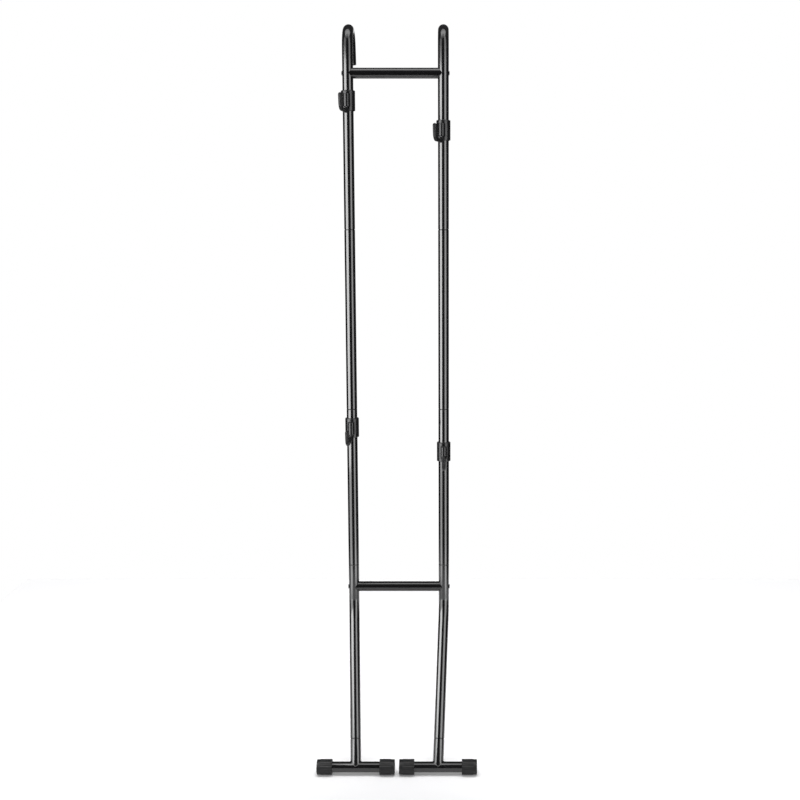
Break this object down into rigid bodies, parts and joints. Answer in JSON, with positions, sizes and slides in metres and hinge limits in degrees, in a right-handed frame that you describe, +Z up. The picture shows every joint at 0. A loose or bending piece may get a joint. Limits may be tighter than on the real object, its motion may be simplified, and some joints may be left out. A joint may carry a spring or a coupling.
{
  "type": "bike stand",
  "caption": "Tall leaning bicycle stand of plugged steel tube with cane-shaped tops, T-shaped feet and crossbars; clamps with sheathed hooks slide and swivel on its uprights to hold bikes.",
  "frame": {"origin": "on the floor, at the middle of the stand's outline seen from above", "axes": "+Z up along the uprights, +Y back towards the wall that the stand leans on, +X to the right as seen from the front"},
  "size_m": [0.481, 0.376, 2.2194],
  "materials": {
    "black_tube": "gloss black powder coat",
    "clamp_plastic": "satin black moulded plastic",
    "liner_plastic": "dull black sleeve",
    "sheath_rubber": "soft black sheath",
    "cap_rubber": "matt black ribbed rubber",
    "plug_plastic": "matt black end plug",
    "black_steel": "black oxide",
    "bare_steel": "plain drawn steel"
  },
  "bodies": {
    "frame": {"foot_left": "black_tube", "foot_right": "black_tube", "leg_tube_left": "black_tube", "leg_tube_right": "black_tube", "lower_middle_tube_left": "black_tube", "lower_middle_tube_right": "black_tube", "upper_middle_tube_left": "black_tube", "upper_middle_tube_right": "black_tube", "cane_tube_left": "black_tube", "cane_tube_right": "black_tube", "cane_plug_left": "plug_plastic", "cane_plug_right": "plug_plastic", "crossbar_upper": "black_tube", "crossbar_lower": "black_tube", "crossbar_insert_upper_left": "bare_steel", "crossbar_insert_upper_right": "bare_steel", "crossbar_insert_lower_left": "bare_steel", "crossbar_insert_lower_right": "bare_steel", "crossbar_screw_upper_left": "black_steel", "crossbar_screw_upper_right": "black_steel", "crossbar_screw_lower_left": "black_steel", "crossbar_screw_lower_right": "black_steel", "foot_cap_left_outer": "cap_rubber", "foot_cap_left_inner": "cap_rubber", "foot_cap_right_inner": "cap_rubber", "foot_cap_right_outer": "cap_rubber"},
    "liner_upper_left": {"clamp_liner_upper_left": "liner_plastic"},
    "liner_upper_right": {"clamp_liner_upper_right": "liner_plastic"},
    "liner_lower_left": {"clamp_liner_lower_left": "liner_plastic"},
    "liner_lower_right": {"clamp_liner_lower_right": "liner_plastic"},
    "arm_upper_left": {"clamp_upper_left": "clamp_plastic", "hook_rod_upper_left": "bare_steel", "hook_sheath_upper_left": "sheath_rubber", "pinch_screw_upper_left_top": "black_steel", "pinch_screw_upper_left_bottom": "black_steel", "pinch_nut_upper_left_top": "black_steel", "pinch_nut_upper_left_bottom": "black_steel"},
    "arm_upper_right": {"clamp_upper_right": "clamp_plastic", "hook_rod_upper_right": "bare_steel", "hook_sheath_upper_right": "sheath_rubber", "pinch_screw_upper_right_top": "black_steel", "pinch_screw_upper_right_bottom": "black_steel", "pinch_nut_upper_right_top": "black_steel", "pinch_nut_upper_right_bottom": "black_steel"},
    "arm_lower_left": {"clamp_lower_left": "clamp_plastic", "hook_rod_lower_left": "bare_steel", "hook_sheath_lower_left": "sheath_rubber", "pinch_screw_lower_left_top": "black_steel", "pinch_screw_lower_left_bottom": "black_steel", "pinch_nut_lower_left_top": "black_steel", "pinch_nut_lower_left_bottom": "black_steel"},
    "arm_lower_right": {"clamp_lower_right": "clamp_plastic", "hook_rod_lower_right": "bare_steel", "hook_sheath_lower_right": "sheath_rubber", "pinch_screw_lower_right_top": "black_steel", "pinch_screw_lower_right_bottom": "black_steel", "pinch_nut_lower_right_top": "black_steel", "pinch_nut_lower_right_bottom": "black_steel"}
  },
  "joints": [
    {"name": "slide_upper_left", "type": "slide", "parent": "frame", "child": "liner_upper_left", "axis": [0, 0, 1], "range_m": [-0.869, 0.0295]},
    {"name": "slide_upper_right", "type": "slide", "parent": "frame", "child": "liner_upper_right", "axis": [0, 0, 1], "range_m": [-0.784, 0.1145]},
    {"name": "slide_lower_left", "type": "slide", "parent": "frame", "child": "liner_lower_left", "axis": [0, 0, 1], "range_m": [-0.4425, 0.024]},
    {"name": "slide_lower_right", "type": "slide", "parent": "frame", "child": "liner_lower_right", "axis": [0, 0, 1], "range_m": [-0.3675, 0.099]},
    {"name": "swivel_upper_left", "type": "hinge", "parent": "liner_upper_left", "child": "arm_upper_left", "pos_m": [-0.14, 0.05088, 1.995], "axis": [0, 0, 1], "range_deg": [-85, 95]},
    {"name": "swivel_upper_right", "type": "hinge", "parent": "liner_upper_right", "child": "arm_upper_right", "pos_m": [0.14, 0.05088, 1.91], "axis": [0, 0, 1], "range_deg": [-79.5, 100.5]},
    {"name": "swivel_lower_left", "type": "hinge", "parent": "liner_lower_left", "child": "arm_lower_left", "pos_m": [-0.14, 0.05088, 1.022], "axis": [0, 0, 1], "range_deg": [-88, 92]},
    {"name": "swivel_lower_right", "type": "hinge", "parent": "liner_lower_right", "child": "arm_lower_right", "pos_m": [0.14, 0.05088, 0.947], "axis": [0, 0, 1], "range_deg": [-90.5, 89.5]}
  ]
}
